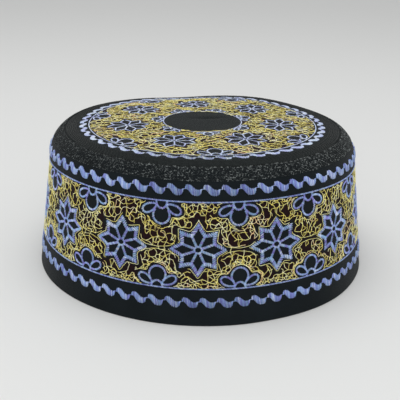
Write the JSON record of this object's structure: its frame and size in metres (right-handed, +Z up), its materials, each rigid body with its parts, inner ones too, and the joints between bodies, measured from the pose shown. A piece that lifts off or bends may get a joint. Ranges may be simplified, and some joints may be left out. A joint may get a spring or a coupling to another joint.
{
  "type": "embroidered prayer cap",
  "caption": "Round flat-topped prayer cap of stiff black cloth with blue and gold embroidery, hollow and open below, resting on its hem.",
  "frame": {"origin": "centre of the hem's flat underside, on the surface that the cap stands on", "axes": "+Z up through the middle of the crown, -Y towards the front of the cap, +X to the wearer's left"},
  "size_m": [0.1896, 0.1896, 0.0799],
  "materials": {
    "band_cloth": "matte black cotton weave",
    "crown_cloth": "matte black cotton weave, lighter from above",
    "blue_thread": "lustrous variegated periwinkle blue embroidery thread",
    "gold_thread": "lustrous variegated old gold embroidery thread",
    "black_thread": "lustrous black embroidery thread"
  },
  "bodies": {
    "root": {"side_band": "band_cloth", "crown": "crown_cloth"}
  },
  "joints": []
}
